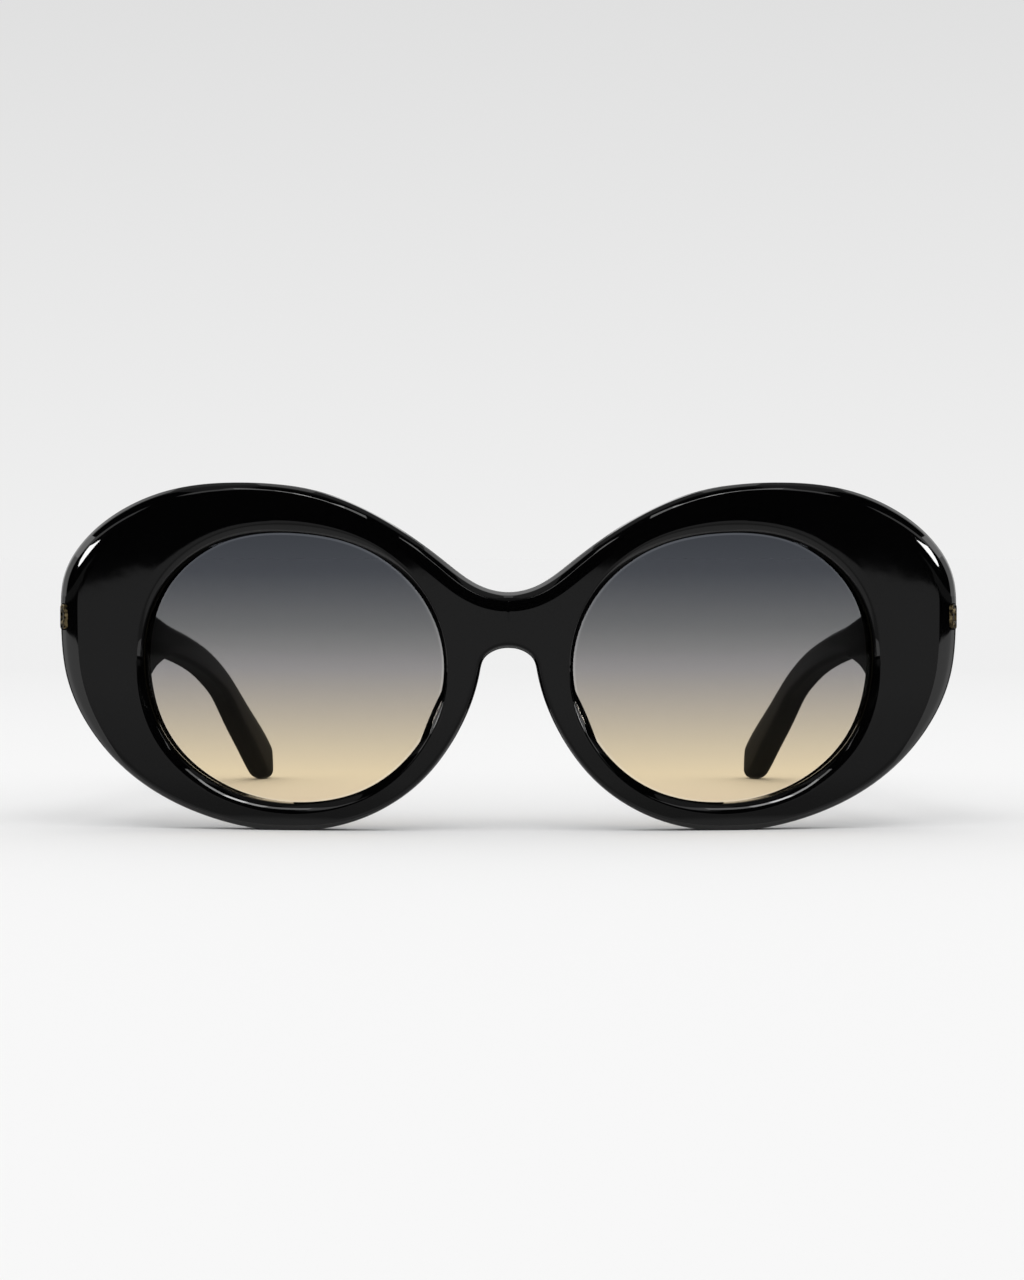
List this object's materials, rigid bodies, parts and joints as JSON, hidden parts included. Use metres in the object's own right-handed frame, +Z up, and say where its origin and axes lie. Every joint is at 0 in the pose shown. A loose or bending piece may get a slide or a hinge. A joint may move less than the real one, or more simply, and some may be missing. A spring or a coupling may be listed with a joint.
{
  "type": "sunglasses",
  "caption": "Round oversized sunglasses with a thick bevelled acetate front, gradient lenses, nose pads, trim shields and folding temples on barrel hinges.",
  "frame": {"origin": "on the table, in the middle of the unfolded frame's box", "axes": "+X across the front to the wearer's left, +Y from the front back to the temple tips, +Z up"},
  "size_m": [0.1512, 0.1484, 0.0578],
  "materials": {
    "black_acetate": "polished black",
    "temple_acetate": "satin black",
    "tinted_lens": "polished, grey above fading to pale amber below",
    "hinge_steel": "satin",
    "antique_gold": "satin antique gold"
  },
  "bodies": {
    "front": {"front": "black_acetate", "lens_left": "tinted_lens", "lens_right": "tinted_lens", "nose_pad_left": "black_acetate", "nose_pad_right": "black_acetate", "front_hinge_left": "hinge_steel", "front_hinge_right": "hinge_steel", "hinge_screw_left": "hinge_steel", "hinge_screw_right": "hinge_steel", "shield_left": "antique_gold", "shield_right": "antique_gold", "shield_rivet_left_lower": "antique_gold", "shield_rivet_left_upper": "antique_gold", "shield_rivet_right_lower": "antique_gold", "shield_rivet_right_upper": "antique_gold"},
    "temple_left": {"temple_left": "temple_acetate", "temple_hinge_left": "hinge_steel", "core_wire_left": "hinge_steel"},
    "temple_right": {"temple_right": "temple_acetate", "temple_hinge_right": "hinge_steel", "core_wire_right": "hinge_steel"}
  },
  "joints": [
    {"name": "fold_left", "type": "hinge", "parent": "front", "child": "temple_left", "pos_m": [0.06733, -0.05523, 0.033], "axis": [0, 0, 1], "range_deg": [0, 84]},
    {"name": "fold_right", "type": "hinge", "parent": "front", "child": "temple_right", "pos_m": [-0.06733, -0.05523, 0.033], "axis": [0, 0, -1], "range_deg": [0, 80]}
  ]
}
